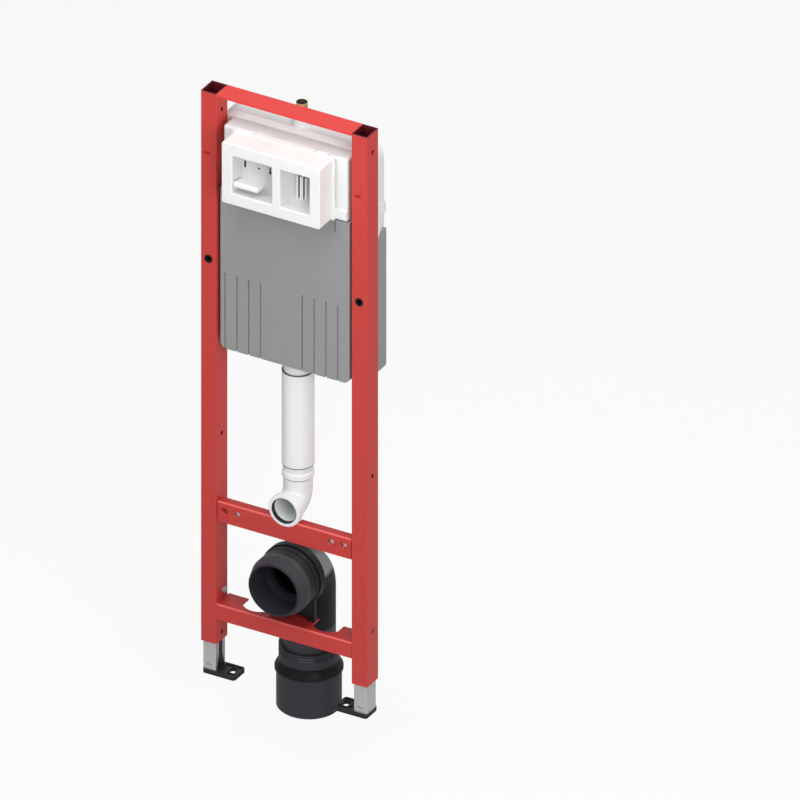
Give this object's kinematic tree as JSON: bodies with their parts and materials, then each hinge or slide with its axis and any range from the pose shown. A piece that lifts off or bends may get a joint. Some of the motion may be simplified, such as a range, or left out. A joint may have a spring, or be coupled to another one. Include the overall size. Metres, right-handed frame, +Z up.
{
  "type": "wall hung toilet frame",
  "caption": "Narrow red steel frame with an insulated concealed cistern, service box, flush pipe, floor drain bend and telescopic feet, for a wall hung toilet",
  "frame": {"origin": "centre of the left foot's sole, on the finished floor", "axes": "+Z up, front towards -Y, +X from the left foot to the right foot"},
  "size_m": [0.32, 0.1858, 1.177],
  "materials": {
    "red_steel": "powder coat",
    "zinc_steel": "galvanised",
    "brass": "machined",
    "grey_foam": "moulded foam",
    "white_tank": "satin",
    "white_box": "satin",
    "white_pipe": "satin",
    "black_plastic": "matt",
    "dark_drain": "satin",
    "rubber": "matt"
  },
  "bodies": {
    "left_foot": {"left_leg": "zinc_steel", "left_foot_plate": "black_plastic"},
    "frame": {"left_upright": "red_steel", "right_upright": "red_steel", "top_bar": "red_steel", "middle_rail": "red_steel", "left_outer_fixing": "red_steel", "left_inner_fixing": "red_steel", "right_inner_fixing": "red_steel", "right_outer_fixing": "red_steel", "lower_rail": "red_steel", "left_wall_sleeve": "black_plastic", "right_wall_sleeve": "black_plastic", "left_leg_screw": "zinc_steel", "right_leg_screw": "zinc_steel", "insulation_front": "grey_foam", "insulation_rear": "grey_foam", "cistern_tank": "white_tank", "service_box": "white_box", "box_flange": "white_box", "valve_lever": "white_box", "left_push_rod": "white_box", "right_push_rod": "white_box", "water_stub": "brass", "stub_cap": "black_plastic", "flush_pipe": "white_pipe", "flush_elbow": "white_pipe", "flush_socket": "white_pipe", "flush_seal": "rubber", "drain_socket": "dark_drain", "drain_collar": "dark_drain", "drain_bend": "dark_drain", "drain_clamp": "black_plastic", "drain_adapter": "dark_drain"},
    "right_foot": {"right_leg": "zinc_steel", "right_foot_plate": "black_plastic"}
  },
  "joints": [
    {"name": "left_leg_slide", "type": "slide", "parent": "left_foot", "child": "frame", "axis": [0, 0, 1], "range_m": [-0.049, 0.146]},
    {"name": "right_leg_slide", "type": "slide", "parent": "frame", "child": "right_foot", "axis": [0, 0, -1], "range_m": [-0.049, 0.146]}
  ]
}
